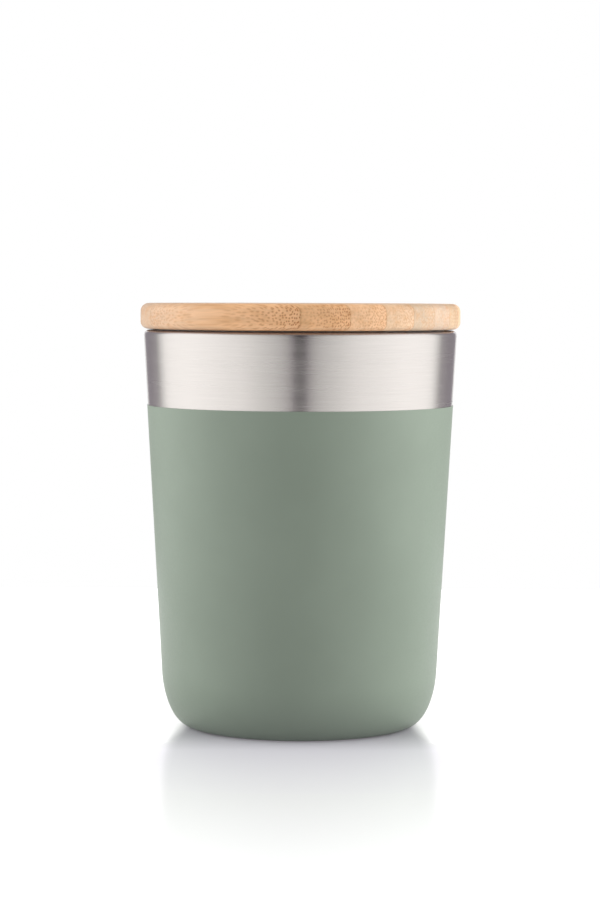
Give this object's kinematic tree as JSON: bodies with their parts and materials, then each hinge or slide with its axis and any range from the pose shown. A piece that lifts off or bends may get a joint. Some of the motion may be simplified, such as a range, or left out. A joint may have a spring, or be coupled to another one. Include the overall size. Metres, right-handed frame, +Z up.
{
  "type": "insulated mug",
  "caption": "Double-walled steel mug without a handle, with a bare brushed band, a matte coat, a rounded heel and a push-in bamboo lid that lifts off.",
  "frame": {"origin": "on the mug's axis, on the surface that it stands on", "axes": "+Z up along the mug's axis, -Y towards the viewer of the picture, +X to the viewer's right"},
  "size_m": [0.084, 0.084, 0.1111],
  "materials": {
    "brushed_steel": "brushed round the axis",
    "powder_coat": "satin-matte sage-green powder coat",
    "satin_steel": "satin, as drawn and electropolished",
    "copper_foil": "bright copper foil",
    "solder_glass": "dark solder glass, opaque",
    "getter_alloy": "dull pressed powder",
    "bamboo": "sanded and oiled, strips on edge",
    "plug_plastic": "moulded, fine matte",
    "silicone": "soft, translucent white"
  },
  "bodies": {
    "mug": {"outer_wall": "brushed_steel", "powder_coat": "powder_coat", "inner_wall": "satin_steel", "inner_bottom": "satin_steel", "copper_foil": "copper_foil", "closing_plate": "satin_steel", "vent_seal": "solder_glass", "getter": "getter_alloy", "getter_bracket": "satin_steel", "base_plate": "satin_steel"},
    "lid": {"bamboo_strip_1": "bamboo", "bamboo_strip_2": "bamboo", "bamboo_strip_3": "bamboo", "bamboo_strip_4": "bamboo", "bamboo_strip_5": "bamboo", "bamboo_strip_6": "bamboo", "bamboo_strip_7": "bamboo", "bamboo_strip_8": "bamboo", "bamboo_strip_9": "bamboo", "bamboo_strip_10": "bamboo", "bamboo_strip_11": "bamboo", "lid_plug": "plug_plastic", "lid_gasket": "silicone"}
  },
  "joints": [
    {"name": "lid_lift", "type": "slide", "parent": "mug", "child": "lid", "axis": [0, 0, 1], "range_m": [0, 0.06]}
  ]
}
